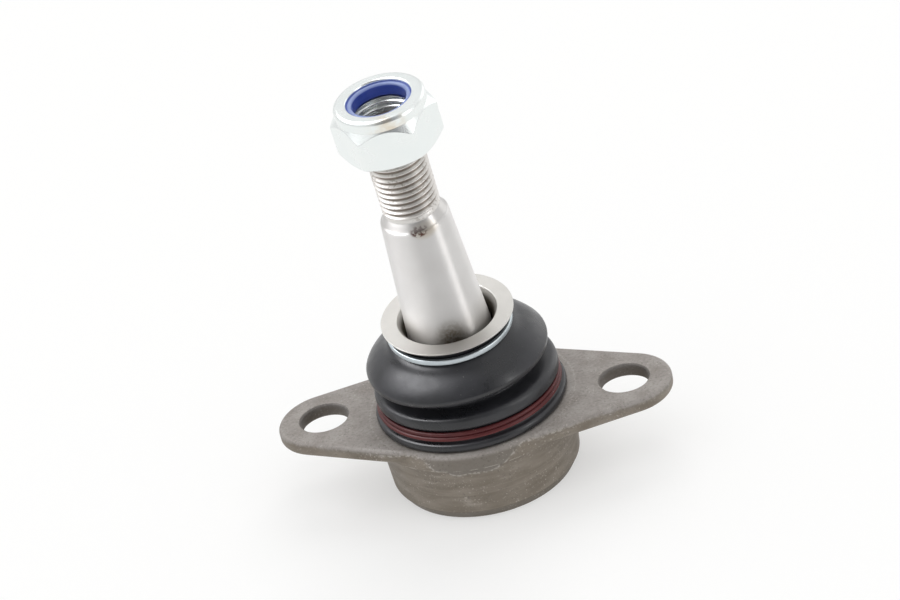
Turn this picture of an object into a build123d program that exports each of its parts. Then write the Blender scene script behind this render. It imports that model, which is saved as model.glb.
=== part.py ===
"""Suspension ball joint with a two-hole forged housing, rubber boot and M14 lock nut.

Frame: millimetres, +Z up along the housing axis. The origin is the middle of the
two-hole bolt pattern, on the top face of the flange. +X runs along the two holes.
The stud stands at the lean it was left at, so its own pieces are drawn upright
about the ball centre and then leaned into place.
"""
from math import cos, pi, radians, sin, sqrt, tan
import os

from build123d import *

# ---- flange ----
hole_spacing = 76.7
hole_d = 12.4
ear_r = 11.9
flange_t = 3.7
flange_web_r = 25.0
flange_edge_r = 1.2
hole_chamfer = 0.4

# ---- forged cup below the flange ----
cup_depth = 20.0
cup_top_r = 24.9
cup_low_r = 24.2
cup_chamfer_w = 1.4
cup_chamfer_h = 2.3
roll_r = 26.5
roll_step = 0.7
root_blend = 3.6

# ---- neck that carries the boot ----
neck_r = 20.6
neck_h = 5.4
neck_lip_out = 0.6
neck_lip_t = 1.0

# ---- ball and its seats ----
ball_r = 13.0
ball_z = -3.0
seat_running_gap = 0.03
seat_wall = 3.45
seat_fit_gap = 0.05
seat_split = 0.2
seat_floor_t = 0.4
seat_drain_r = 5.0
lip_rise = 5.7
mouth_clear = 0.45
shoulder_rise = 3.6
shoulder_drop = 3.1

# ---- bottom closure ----
lip_t = 0.95
lip_reach = 1.4
plate_t = 1.6
plate_edge = 1.5
plate_dish_r = 6.0
plate_dish = 0.4
spring_t = 0.7
spring_cone = 0.3
spring_bore_r = 7.0

# ---- working cone, half its angle ----
cone_deg = 24.0

# ---- stud as left: how far it leans, and which way, from -Y towards +X ----
stud_lean_deg = 7.6
stud_heading = -12.1
collar_lean_deg = 6.0
collar_heading = 12.5

# ---- stud, measured along its own axis from the ball centre ----
stud_neck_r = 8.0
stud_neck_end = 12.4
land_start = 20.0
land_end = 26.5
land_r = 10.44
taper_ratio = 1 / 8
taper_end = 60.2
bevel_h = 2.0
relief_r = 6.75
relief_h = 1.7
thread_d = 14.0
thread_pitch = 1.5
thread_depth = 0.86
thread_flank_deg = 30.0
thread_end = 86.4
thread_tip_chamfer = 1.0

# ---- sealing collar on the land, measured from its bore along its own axis ----
collar_at = 23.2
collar_bore_gap = 0.16
collar_land_half = 0.8
collar_throat_r = 10.9
collar_throat_z = 4.8
collar_mouth_r = 12.4
collar_sleeve_r = 12.9
collar_flange_r = 16.5
collar_flange_t = 0.4
collar_top = 7.5
collar_skirt = 1.4

# ---- boot ----
boot_gap = 0.3
boot_wall = 1.7
boot_bead_wall = 3.5
boot_bead_h = 2.3
boot_ring_wall = 1.4
boot_ring_seat_h = 2.5
lower_fold_r = 23.3
lower_fold_z = 7.0
groove_r = 19.2
groove_z = 10.3
groove_h = 2.1
upper_fold_r = 22.8
upper_fold_low = 13.5
upper_fold_z = 15.4
shoulder_r = 20.6
shoulder_z = 18.9
top_lip_r = 14.3
top_lip_bead_r = 15.0
top_lip_bead_h = 0.5
top_lip_inner_r = 13.2
boot_sag = 0.4
fold_tilt_deg = 1.6

# ---- boot rings ----
clamp_wire_d = 1.0
clamp_turns = 2
clamp_turn_gap = 0.06
clip_r = 15.6
clip_h = 1.5
clip_drop = 2.4

# ---- lock nut ----
nut_flats = 22.0
nut_at = 81.0
nut_turned = 15.0
nut_hex_h = 10.6
nut_h = 12.6
nut_crown_r = 10.75
nut_crown_round = 1.1
nut_chamfer_deg = 30.0
nut_bore_gap = 0.03
nut_lead_in = 1.0
insert_h = 3.0
insert_r = 8.8
insert_inner_r = 6.35
insert_fit_gap = 0.04
crown_lip_t = 0.4
crown_lip_r = 7.65

# ---- values worked out from the ones above ----
half_spacing = hole_spacing / 2
bore_r = ball_r + seat_running_gap + seat_wall
seat_outer_r = bore_r - seat_fit_gap
cup_bottom = -cup_depth
plate_low = cup_bottom + lip_t
plate_high = plate_low + plate_t
plate_r = bore_r + plate_edge
seat_low = plate_high + spring_t + spring_cone
neck_lip_r = neck_r + neck_lip_out
boot_bead_r = neck_r + boot_gap + boot_bead_wall
boot_ring_seat_r = neck_lip_r + boot_gap + boot_ring_wall
taper_slope = taper_ratio / 2
bevel_start_r = land_r - (taper_end - land_end) * taper_slope
thread_start = taper_end + bevel_h + relief_h
thread_r = thread_d / 2
thread_root_r = thread_r - thread_depth
thread_crest = thread_pitch / 8
nut_bore_r = thread_r + nut_bore_gap


def leaning(place, lean, heading):
    """Location at a place, with its Z leaning from upright towards a heading."""
    return Location(place, (0, 0, heading)) * Location((0, 0, 0), (lean, 0, 0))


upright = Location((0, 0, ball_z))
on_stud = leaning((0, 0, ball_z), stud_lean_deg, stud_heading)
collar_seat = (on_stud * Location((0, 0, collar_at))).position
on_collar = leaning(collar_seat, collar_lean_deg, collar_heading)


def mouth_r(height):
    """Radius that the leaning stud neck needs, at a height above the ball centre."""
    tilt = radians(cone_deg)
    leaves_ball = sqrt(ball_r**2 - stud_neck_r**2)
    out = stud_neck_r * cos(tilt) + leaves_ball * sin(tilt)
    up = leaves_ball * cos(tilt) - stud_neck_r * sin(tilt)
    return out + (height - up) * tan(tilt) + mouth_clear


def turned(*points):
    """Solid turned about Z from a closed outline of (radius, height) points."""
    outline = Polyline(*points, close=True)
    return revolve(Plane.XZ * make_face(outline), Axis.Z)


def flange_outline():
    """Two ears joined to the middle by straight tangent flanks."""
    ears = [Pos(x, 0) * CenterArc((0, 0), ear_r, 0, 360) for x in (-half_spacing, half_spacing)]
    return make_hull([*ears, CenterArc((0, 0), flange_web_r, 0, 360)])


def housing():
    """Forged cup, two-eared flange and boot neck, bored from below for the seats."""
    plate = extrude(flange_outline(), -flange_t)
    rims = plate.edges().group_by(Axis.Z)
    plate = fillet(rims[-1] + rims[0], flange_edge_r)

    cup_low = cup_bottom + cup_chamfer_h
    outside = [
        Line((0, cup_bottom), (cup_low_r - cup_chamfer_w, cup_bottom)),
        Line((cup_low_r - cup_chamfer_w, cup_bottom), (cup_low_r, cup_low)),
        Line((cup_low_r, cup_low), (cup_top_r, -flange_t - root_blend)),
        Line((cup_top_r, -flange_t - root_blend), (roll_r - roll_step, -flange_t)),
        Line((roll_r - roll_step, -flange_t), (roll_r, -flange_t)),
        EllipticalCenterArc(
            (flange_web_r - flange_edge_r, -flange_t),
            roll_r - flange_web_r + flange_edge_r,
            flange_t,
            start_angle=0,
            arc_size=90,
        ),
        Line((flange_web_r - flange_edge_r, 0), (neck_r, 0)),
        Line((neck_r, 0), (neck_r, neck_h - neck_lip_t)),
        Line((neck_r, neck_h - neck_lip_t), (neck_lip_r, neck_h - neck_lip_t)),
        Line((neck_lip_r, neck_h - neck_lip_t), (neck_lip_r, neck_h)),
        Line((neck_lip_r, neck_h), (0, neck_h)),
        Line((0, neck_h), (0, cup_bottom)),
    ]
    body = plate + revolve(Plane.XZ * make_face(outside), Axis.Z)

    lip_bore = plate_r - lip_reach
    shoulder_low = shoulder_rise - shoulder_drop
    seat_top_r = bore_r - shoulder_drop
    mouth_low = mouth_r(shoulder_rise - ball_z)
    cavity = turned(
        (0, cup_bottom),
        (lip_bore, cup_bottom),
        (lip_bore, plate_low),
        (plate_r, plate_low),
        (plate_r, plate_high),
        (bore_r, plate_high),
        (bore_r, shoulder_low),
        (seat_top_r, shoulder_rise),
        (mouth_low, shoulder_rise),
        (mouth_r(neck_h - ball_z), neck_h),
        (0, neck_h),
    )
    body -= cavity

    for x in (-half_spacing, half_spacing):
        bore = Cylinder(hole_d / 2, 3 * flange_t)
        top_cone = Pos(0, 0, -hole_chamfer / 2) * Cone(
            hole_d / 2, hole_d / 2 + hole_chamfer, hole_chamfer
        )
        low_cone = Pos(0, 0, -flange_t + hole_chamfer / 2) * Cone(
            hole_d / 2 + hole_chamfer, hole_d / 2, hole_chamfer
        )
        body -= Pos(x, 0) * (bore + top_cone + low_cone)
    return body


def bearing_seat_upper():
    """Plastic half that holds the ball down, coned to the shoulder in the housing."""
    socket_r = ball_r + seat_running_gap
    low = seat_split / 2
    lip_r = sqrt(socket_r**2 - lip_rise**2)
    top = shoulder_rise - ball_z
    shell = turned(
        (0, low),
        (seat_outer_r, low),
        (seat_outer_r, top - shoulder_drop),
        (seat_outer_r - shoulder_drop, top),
        (0, top),
    )
    flare = turned((0, lip_rise), (lip_r, lip_rise), (mouth_r(top), top), (0, top))
    return upright * (shell - Sphere(socket_r) - flare)


def bearing_seat_lower():
    """Plastic cup under the ball, open at the bottom as a grease pocket."""
    socket_r = ball_r + seat_running_gap
    shell = turned(
        (seat_drain_r, seat_low - ball_z),
        (seat_outer_r - seat_floor_t, seat_low - ball_z),
        (seat_outer_r, seat_low - ball_z + seat_floor_t),
        (seat_outer_r, -seat_split / 2),
        (seat_drain_r, -seat_split / 2),
    )
    return upright * (shell - Sphere(socket_r))


def preload_spring():
    """Coned disc spring between the lower seat and the closing plate."""
    outer = bore_r - plate_edge / 2
    return turned(
        (spring_bore_r, seat_low - spring_t),
        (spring_bore_r, seat_low),
        (outer, seat_low - spring_cone),
        (outer, plate_high),
    )


def closing_plate():
    """Pressed steel disc, dished in the middle and held by the rolled lip."""
    edge = plate_r - seat_fit_gap
    return turned(
        (0, plate_low + plate_dish),
        (plate_dish_r, plate_low + plate_dish),
        (plate_dish_r + plate_dish, plate_low),
        (edge, plate_low),
        (edge, plate_high),
        (plate_dish_r + plate_dish, plate_high),
        (plate_dish_r, plate_high + plate_dish),
        (0, plate_high + plate_dish),
    )


def thread_grooves():
    """Points of one V groove per pitch, from the run-in crest to the tip chamfer."""
    flank = thread_depth * tan(radians(thread_flank_deg))
    root = thread_pitch - thread_crest - 2 * flank
    points = []
    start = thread_start + thread_crest
    while start + 2 * flank + root < thread_end - thread_tip_chamfer:
        points.append((thread_r, start))
        points.append((thread_root_r, start + flank))
        points.append((thread_root_r, start + flank + root))
        points.append((thread_r, start + 2 * flank + root))
        start += thread_pitch
    return points


def ball_stud():
    """Ball, waisted neck, sealing land, 1:8 taper, bevel and threaded end in one."""
    flare_sag = (land_r - stud_neck_r) * 0.3
    flare_mid = (stud_neck_r + flare_sag, (stud_neck_end + land_start) / 2)
    bevel_end = taper_end + bevel_h
    edges = [
        Line((0, 0), (stud_neck_r, 0)),
        Line((stud_neck_r, 0), (stud_neck_r, stud_neck_end)),
        ThreePointArc((stud_neck_r, stud_neck_end), flare_mid, (land_r, land_start)),
        Polyline(
            (land_r, land_start),
            (land_r, land_end),
            (bevel_start_r, taper_end),
            (thread_r + 0.05, bevel_end),
            (relief_r, bevel_end + relief_h / 4),
            (relief_r, thread_start - relief_h / 4),
            (thread_r, thread_start),
            *thread_grooves(),
            (thread_r, thread_end - thread_tip_chamfer),
            (thread_r - thread_tip_chamfer, thread_end),
            (0, thread_end),
            (0, 0),
        ),
    ]
    return on_stud * (revolve(Plane.XZ * make_face(edges), Axis.Z) + Sphere(ball_r))


def stud_collar():
    """Flanged sleeve that runs on the land and carries the boot's top lip."""
    bore = land_r + collar_bore_gap
    ring = turned(
        (bore, -collar_land_half),
        (bore, collar_land_half),
        (collar_throat_r, collar_throat_z),
        (collar_mouth_r, collar_top),
        (collar_flange_r, collar_top),
        (collar_flange_r, collar_top - collar_flange_t),
        (collar_sleeve_r, collar_top - collar_flange_t),
        (collar_sleeve_r, -collar_skirt),
        (bore + collar_skirt / 2, -collar_skirt),
    )
    return on_collar * ring


def boot_station(height, share):
    """A level of the boot, from upright at share 0 to the lean of the collar at 1."""
    on_axis = Vector(0, 0, height)
    along = (height - ball_z) / on_stud.z_axis.direction.Z
    on_line = Vector(0, 0, ball_z) + on_stud.z_axis.direction * along
    between = sin(pi * share)
    middle = on_axis * (1 - share) + on_line * share - Vector(boot_sag * between, 0, 0)
    level = leaning(middle, collar_lean_deg * share**3, collar_heading)
    return level * Location((0, 0, 0), (0, -fold_tilt_deg * between, 0))


def boot():
    """Two-fold rubber bellows from the housing neck to the sealing collar."""
    bottom = boot_gap
    ring_low = bottom + boot_bead_h
    ring_high = ring_low + boot_ring_seat_h
    bead_top = collar_top - collar_flange_t - boot_gap
    bead_low = bead_top - top_lip_bead_h
    clip_low = collar_top - clip_drop - clip_h - boot_gap
    outer = [
        (boot_station(bottom, 0), boot_bead_r - 0.5),
        (boot_station(bottom + 0.5, 0), boot_bead_r),
        (boot_station(ring_low, 0), boot_bead_r - 0.3),
        (boot_station(ring_low + 0.1, 0), boot_ring_seat_r),
        (boot_station(ring_high, 0), boot_ring_seat_r),
        (boot_station(lower_fold_z, 0.05), lower_fold_r),
        (boot_station((lower_fold_z + groove_z) / 2, 0.15), (lower_fold_r + groove_r) / 2 + 1.4),
        (boot_station(groove_z, 0.3), groove_r),
        (boot_station(groove_z + groove_h, 0.4), groove_r),
        (boot_station(upper_fold_low, 0.53), upper_fold_r - 0.7),
        (boot_station(upper_fold_z, 0.65), upper_fold_r),
        (boot_station((upper_fold_z + shoulder_z) / 2, 0.75), upper_fold_r - 0.8),
        (boot_station(shoulder_z, 0.86), shoulder_r),
        (on_collar * Pos(0, 0, clip_low), top_lip_r + 0.6),
        (on_collar * Pos(0, 0, clip_low + 0.3), top_lip_r),
        (on_collar * Pos(0, 0, bead_low - 0.2), top_lip_r),
        (on_collar * Pos(0, 0, bead_low), top_lip_bead_r),
        (on_collar * Pos(0, 0, bead_top), top_lip_bead_r),
    ]
    neck_clear = neck_lip_r + boot_gap
    inner = [
        (boot_station(bottom - 1, 0), neck_r + boot_gap),
        (boot_station(neck_h - neck_lip_t - boot_gap, 0), neck_r + boot_gap),
        (boot_station(neck_h - neck_lip_t, 0), neck_clear),
        (boot_station(neck_h + boot_gap, 0), neck_clear),
        (boot_station(lower_fold_z, 0.05), lower_fold_r - boot_wall),
        (boot_station(groove_z, 0.3), groove_r - boot_wall),
        (boot_station(groove_z + groove_h, 0.4), groove_r - boot_wall),
        (boot_station(upper_fold_z, 0.65), upper_fold_r - boot_wall),
        (boot_station((upper_fold_z + shoulder_z) / 2, 0.75), upper_fold_r - boot_wall - 1.0),
        (boot_station(shoulder_z - boot_wall / 2, 0.86), shoulder_r - boot_wall),
        (on_collar * Pos(0, 0, clip_low - boot_wall), top_lip_inner_r),
        (on_collar * Pos(0, 0, bead_top + 1), top_lip_inner_r),
    ]
    skins = [loft([place * Circle(r) for place, r in rows], ruled=True) for rows in (outer, inner)]
    return skins[0] - skins[1]


def boot_clamp_ring():
    """Round-wire spring ring of two turns, in the boot's lower groove."""
    pitch = clamp_wire_d + clamp_turn_gap
    coil_r = boot_ring_seat_r + boot_gap + clamp_wire_d / 2
    low = boot_gap + boot_bead_h + clamp_wire_d / 2 + boot_gap / 2
    path = Pos(0, 0, low) * Helix(pitch, (clamp_turns - 0.5) * pitch, coil_r)
    return sweep((path ^ 0) * Circle(clamp_wire_d / 2), path=path, is_frenet=True)


def boot_top_clip():
    """Pale plated band round the boot's top lip, under the collar flange."""
    inner = top_lip_r + boot_gap
    high = collar_top - clip_drop
    low = high - clip_h
    band = turned((inner, low), (clip_r, low), (clip_r, high), (inner, high))
    return on_collar * band


def nut_body():
    """Hexagon with chamfered corners and a round crown lipped over the insert."""
    hexagon = extrude(RegularPolygon(nut_flats / 2, 6, major_radius=False), nut_hex_h)
    hexagon = Rot(0, 0, nut_turned) * hexagon
    corner_r = nut_flats / 2 / cos(radians(30))
    reach = corner_r + 1
    fall = tan(radians(nut_chamfer_deg))
    flat_r = nut_flats / 2 - 0.4
    envelope = turned(
        (0, 0),
        (flat_r, 0),
        (reach, (reach - flat_r) * fall),
        (reach, nut_hex_h - (reach - flat_r) * fall),
        (flat_r, nut_hex_h),
        (0, nut_hex_h),
    )
    crown = Pos(0, 0, nut_hex_h / 2) * Cylinder(
        nut_crown_r, nut_h - nut_hex_h / 2, align=(Align.CENTER, Align.CENTER, Align.MIN)
    )
    crown = fillet(crown.edges().group_by(Axis.Z)[-1], nut_crown_round)
    pocket_high = nut_h - crown_lip_t
    pocket_low = pocket_high - insert_h
    hollow = turned(
        (0, 0),
        (nut_bore_r + nut_lead_in, 0),
        (nut_bore_r, nut_lead_in),
        (nut_bore_r, pocket_low),
        (insert_r, pocket_low),
        (insert_r, pocket_high),
        (crown_lip_r, pocket_high),
        (crown_lip_r, nut_h),
        (0, nut_h),
    )
    return on_stud * Pos(0, 0, nut_at) * ((hexagon & envelope) + crown - hollow)


def nut_insert():
    """Nylon locking ring in the crown, bored under the thread size."""
    high = nut_h - crown_lip_t - insert_fit_gap
    low = high - insert_h + 2 * insert_fit_gap
    outer = insert_r - insert_fit_gap
    ring = turned((insert_inner_r, low), (outer, low), (outer, high), (insert_inner_r, high))
    return on_stud * Pos(0, 0, nut_at) * ring


pieces = {
    "housing": housing,
    "bearing_seat_upper": bearing_seat_upper,
    "bearing_seat_lower": bearing_seat_lower,
    "preload_spring": preload_spring,
    "closing_plate": closing_plate,
    "ball_stud": ball_stud,
    "stud_collar": stud_collar,
    "boot": boot,
    "boot_clamp_ring": boot_clamp_ring,
    "boot_top_clip": boot_top_clip,
    "nut_body": nut_body,
    "nut_insert": nut_insert,
}

os.makedirs("parts", exist_ok=True)
for name, make in pieces.items():
    export_step(make(), f"parts/{name}.step")
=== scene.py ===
# %% [markdown]
# # A suspension ball joint, from its imported solids to a studio picture
#
# A ball joint is the hinge between a car's control arm and its wheel carrier. A
# forged housing holds a ball, and the ball's tapered stud comes out through a rubber
# boot and ends in a thread with a lock nut. The solids come from a CAD source, and
# this lesson dresses them: some keep their own mesh and only get a finish, others are
# turned again here with softer edges, real threads and a moulded boot.
#
# The first cell loads the solids, and a helper can measure the box that one of them fills.

from math import atan2, cos, hypot, pi, radians, sin, tan

import bmesh
import bpy
from mathutils import Euler, Matrix, Vector


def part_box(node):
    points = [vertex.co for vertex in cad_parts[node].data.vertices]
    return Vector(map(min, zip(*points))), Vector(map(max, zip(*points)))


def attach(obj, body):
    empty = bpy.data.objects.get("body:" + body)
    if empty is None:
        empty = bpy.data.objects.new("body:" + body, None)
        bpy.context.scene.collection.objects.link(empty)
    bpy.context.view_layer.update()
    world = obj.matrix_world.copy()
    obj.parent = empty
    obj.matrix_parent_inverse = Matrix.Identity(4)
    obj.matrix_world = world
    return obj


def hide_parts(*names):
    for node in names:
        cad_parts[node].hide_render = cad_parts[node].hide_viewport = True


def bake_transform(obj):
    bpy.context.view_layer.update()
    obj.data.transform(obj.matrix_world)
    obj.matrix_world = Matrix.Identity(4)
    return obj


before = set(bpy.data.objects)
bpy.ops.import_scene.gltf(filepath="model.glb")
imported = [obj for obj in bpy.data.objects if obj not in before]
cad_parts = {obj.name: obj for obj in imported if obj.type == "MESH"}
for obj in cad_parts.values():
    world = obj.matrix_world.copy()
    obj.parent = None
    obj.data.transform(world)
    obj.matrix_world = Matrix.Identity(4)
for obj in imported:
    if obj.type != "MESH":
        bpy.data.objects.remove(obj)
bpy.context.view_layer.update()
mm = 0.001

# %% [markdown]
# ## Camera
#
# A product photographer stands well back with a long lens, so that the part hardly
# tapers with distance. The camera looks down at 29 degrees from a little to the right
# of the front, and it is rolled, which makes the part lean across the picture. Building
# the camera's matrix from azimuth, elevation and roll keeps those three ideas apart.

# %% Camera
def new_object(name, data):
    """Make an object of a camera, a lamp or a mesh and put it into the scene."""
    made = bpy.data.objects.new(name, data)
    bpy.context.scene.collection.objects.link(made)
    return made


view_azimuth = 0.1917
view_elevation = 0.5079
view_roll = 0.2349
view_distance = 515.0566 * mm
view_target = Vector((-0.2566, 3.0399, 27.0182)) * mm

level_part = cos(view_elevation)
towards_camera = Vector(
    (sin(view_azimuth) * level_part, -cos(view_azimuth) * level_part, sin(view_elevation))
)
upright_view = towards_camera.to_track_quat("Z", "Y").to_matrix().to_4x4()
camera_data = bpy.data.cameras.new("studio_camera")
camera_data.sensor_width = 36
camera_data.lens = 84
camera_data.clip_start = 0.01
camera = new_object("studio_camera", camera_data)
camera.matrix_world = (
    Matrix.Translation(view_target + towards_camera * view_distance)
    @ upright_view
    @ Matrix.Rotation(-view_roll, 4, "Z")
)
bpy.context.scene.camera = camera
bpy.context.scene.view_settings.view_transform = "Standard"
print("camera at", [round(v, 4) for v in camera.location])

# %% [markdown]
# ## Two leaning workbenches
#
# The stud was left leaning, and the sealing collar on it leans by another amount. Each
# piece is easier to make upright about its own axis, as on a lathe, and then leaned
# into place. These two matrices are the workbenches: the first has its Z along the
# stud with the ball at its origin, the second has its Z along the collar.

# %% Leaning frames
ball_centre = Vector((0, 0, -3.0)) * mm
stud_tilt = Euler((radians(7.6), 0, radians(-12.1)))
collar_tilt = Euler((radians(6.0), 0, radians(12.5)))
stud_frame = Matrix.Translation(ball_centre) @ stud_tilt.to_matrix().to_4x4()
collar_at = 23.2 * mm
collar_centre = stud_frame @ Vector((0, 0, collar_at))
collar_frame = Matrix.Translation(collar_centre) @ collar_tilt.to_matrix().to_4x4()
print("collar centre in mm:", [round(v / mm, 3) for v in collar_centre])

# %% [markdown]
# ## Helpers for node trees
#
# A material is a small graph. One helper adds a node, sets its options and fills its
# inputs with numbers, colours or the outputs of other nodes. A second opens a node
# group, so that several finishes can share one effect, and a third places it in a
# material.

# %% Helpers: nodes and groups
def fill(tree, node, inputs):
    """Link a node's inputs to other nodes' outputs, or fill them with numbers or colours."""
    for key, value in inputs.items():
        socket = node.inputs[key]
        if isinstance(value, bpy.types.NodeSocket):
            tree.links.new(value, socket)
        else:
            socket.default_value = (*value, 1) if socket.type == "RGBA" else value


def add(tree, kind, inputs=None, **options):
    """Add a shader node to a tree, set its options, and fill or link its inputs."""
    made = tree.nodes.new("ShaderNode" + kind)
    for option, value in options.items():
        setattr(made, option, value)
    fill(tree, made, inputs or {})
    return made


def new_group(name, inputs, outputs):
    """Open a shader node group with named inputs and outputs."""
    group = bpy.data.node_groups.new(name, "ShaderNodeTree")
    for label, kind, value in inputs:
        socket = group.interface.new_socket(name=label, in_out="INPUT", socket_type=kind)
        if value is not None:
            socket.default_value = value
    for label, kind in outputs:
        group.interface.new_socket(name=label, in_out="OUTPUT", socket_type=kind)
    start = group.nodes.new("NodeGroupInput")
    end = group.nodes.new("NodeGroupOutput")
    print("group", name)
    return group, start.outputs, end.inputs


def use(group, place, inputs):
    """Place a node group in a material, with this material's own values."""
    made = add(place.id_data, "Group", node_tree=group)
    fill(place.id_data, made, {"Vector": place, **inputs})
    return made.outputs


print("node helpers ready")


# %% [markdown]
# Values flow through small sums, and a name for each kind of sum keeps a finish
# readable. Each helper adds its node to the tree that its first value comes from, which
# is the value's id_data.

# %% Helpers: sums
def maths(operation, first, second):
    """Two values joined by one of the Math node's operations."""
    inputs = {0: first, 1: second}
    return add(first.id_data, "Math", inputs, operation=operation).outputs[0]


def times(first, second):
    """The product of two values."""
    return maths("MULTIPLY", first, second)


def plus(first, second):
    """The sum of two values."""
    return maths("ADD", first, second)


def minus(first, second):
    """The difference of two values."""
    return maths("SUBTRACT", first, second)


def size_of(value):
    """A value without its sign."""
    return add(value.id_data, "Math", {0: value}, operation="ABSOLUTE").outputs[0]


def ramp(value, low, high):
    """A value stretched so that low becomes 0 and high becomes 1, with soft ends."""
    made = add(value.id_data, "MapRange", {0: value, 1: low, 2: high})
    made.interpolation_type = "SMOOTHSTEP"
    return made.outputs[0]


print("sums ready")


# %% [markdown]
# A place or a direction has three parts, so it takes the Vector Math node. The distance
# from the Z axis and the likeness of two directions both come from it.

# %% Helpers: places and directions
def vectors(operation, first, second=None):
    """The outputs of a Vector Math node."""
    inputs = {0: first} if second is None else {0: first, 1: second}
    return add(first.id_data, "VectorMath", inputs, operation=operation).outputs


def dot(first, second):
    """How alike two directions are, from 1 for the same to 0 for square to each other."""
    return vectors("DOT_PRODUCT", first, second)["Value"]


def axes(place):
    """The X, Y and Z of a place, each as a value of its own."""
    return add(place.id_data, "SeparateXYZ", {0: place}).outputs


def from_axis(place):
    """The distance of a place from the Z axis."""
    flat = vectors("MULTIPLY", place, (1, 1, 0))[0]
    return vectors("LENGTH", flat)["Value"]


print("directions ready")


# %% [markdown]
# The last helpers make patterns and masks: noise, a soft spot round a point, and one
# colour over another.

# %% Helpers: patterns and masks
def noise(place, scale, detail):
    """A noise pattern's value at a place."""
    inputs = {"Vector": place, "Scale": scale, "Detail": detail}
    return add(place.id_data, "TexNoise", inputs).outputs[0]


def mixed(share, first, second):
    """A colour between two others."""
    inputs = {0: share, 6: first, 7: second}
    return add(share.id_data, "Mix", inputs, data_type="RGBA").outputs[2]


def over(share, strength, under, colour):
    """A colour laid over another one where a mask says so, at a given strength."""
    return mixed(times(share, strength), under, colour)


def spot(place, middle, stretch, outer, inner):
    """A soft spot in mm round a point, squeezed by a stretch of the axes."""
    offset = vectors("ADD", place, [-v * mm for v in middle])[0]
    squeezed = vectors("MULTIPLY", offset, stretch)[0]
    return ramp(vectors("LENGTH", squeezed)["Value"], outer * mm, inner * mm)


print("patterns ready")

# %% [markdown]
# ## Shared effects
#
# Turned and ground metal carries fine lines that run round the axis of the machine. On
# a cylinder they differ along the axis and on a flat face they differ with the radius,
# so one noise that reads radius plus height draws both.

# %% Group: turned lines
turned_lines, start, end = new_group(
    "turned_lines",
    [("Vector", "NodeSocketVector", None), ("Lines per mm", "NodeSocketFloat", 6.0)],
    [("Lines", "NodeSocketFloat"), ("Bands", "NodeSocketFloat")],
)
at = start["Vector"]
along = plus(from_axis(at), axes(at)[2])
in_mm = times(along, 1000.0)
fine = add(
    turned_lines,
    "TexNoise",
    {"W": times(in_mm, start["Lines per mm"]), "Scale": 1.0, "Detail": 3.0},
    noise_dimensions="1D",
)
broad = add(
    turned_lines,
    "TexNoise",
    {"W": in_mm, "Scale": 0.9, "Detail": 2.0},
    noise_dimensions="1D",
)
turned_lines.links.new(fine.outputs[0], end["Lines"])
turned_lines.links.new(broad.outputs[0], end["Bands"])

# %% [markdown]
# Wear shows first on edges. The Bevel node gives the normal that a slightly rounded
# edge would have, so wherever it departs from the true normal there is an edge. A noise
# breaks the line up, because real wear is never even.

# %% Group: worn edges
worn_edges, start, end = new_group(
    "worn_edges",
    [
        ("Vector", "NodeSocketVector", None),
        ("Radius", "NodeSocketFloat", 0.0004),
        ("Patch scale", "NodeSocketFloat", 400.0),
        ("Cover", "NodeSocketFloat", 0.5),
    ],
    [("Edge", "NodeSocketFloat")],
)
rounded = add(worn_edges, "Bevel", {"Radius": start["Radius"]}, samples=6)
true_normal = add(worn_edges, "NewGeometry")
likeness = dot(rounded.outputs[0], true_normal.outputs["Normal"])
departure = ramp(likeness, 0.995, 0.86)
patches = noise(start["Vector"], start["Patch scale"], 4.0)
cover = start["Cover"]
kept = add(worn_edges, "MapRange", {0: patches, 1: cover, 2: plus(cover, 0.12)})
worn_edges.links.new(times(departure, kept.outputs[0]), end["Edge"])

# %% [markdown]
# Dust, nicks and bright grains are all small islands on a plain ground. A noise cut off
# near its top gives islands, and a second, larger noise decides where they gather.

# %% Group: specks
specks, start, end = new_group(
    "specks",
    [
        ("Vector", "NodeSocketVector", None),
        ("Scale", "NodeSocketFloat", 1500.0),
        ("Gather scale", "NodeSocketFloat", 120.0),
        ("Cut", "NodeSocketFloat", 0.66),
    ],
    [("Specks", "NodeSocketFloat")],
)
small = noise(start["Vector"], start["Scale"], 2.0)
large = noise(start["Vector"], start["Gather scale"], 3.0)
cut = start["Cut"]
island = add(specks, "MapRange", {0: small, 1: cut, 2: plus(cut, 0.06)})
where = ramp(large, 0.42, 0.62)
specks.links.new(times(island.outputs[0], where), end["Specks"])


# %% [markdown]
# ## Starting a material
#
# Every finish starts the same way: a Principled BSDF, the Object coordinates, and a
# Mapping node that turns them upright for a piece that leans, so that rings stay
# concentric with the piece.

# %% Material starter
def new_finish(name, colour, roughness, metallic=0.0, frame_at=None, tilt=None):
    """A material with its shader and its own upright coordinates."""
    material = bpy.data.materials.new(name)
    material.use_nodes = True
    print("finish", name)
    tree = material.node_tree
    shader = tree.nodes["Principled BSDF"]
    shader.inputs["Base Color"].default_value = (*colour, 1)
    shader.inputs["Roughness"].default_value = roughness
    shader.inputs["Metallic"].default_value = metallic
    place = add(tree, "TexCoord").outputs["Object"]
    if frame_at is not None:
        place = add(
            tree,
            "Mapping",
            {"Vector": place, "Location": frame_at, "Rotation": tilt},
            vector_type="TEXTURE",
        ).outputs[0]
    return material, tree, shader, place


def painted(shader, colour):
    """Give the shader a colour that changes over the surface."""
    shader.id_data.links.new(colour, shader.inputs["Base Color"])


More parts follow.
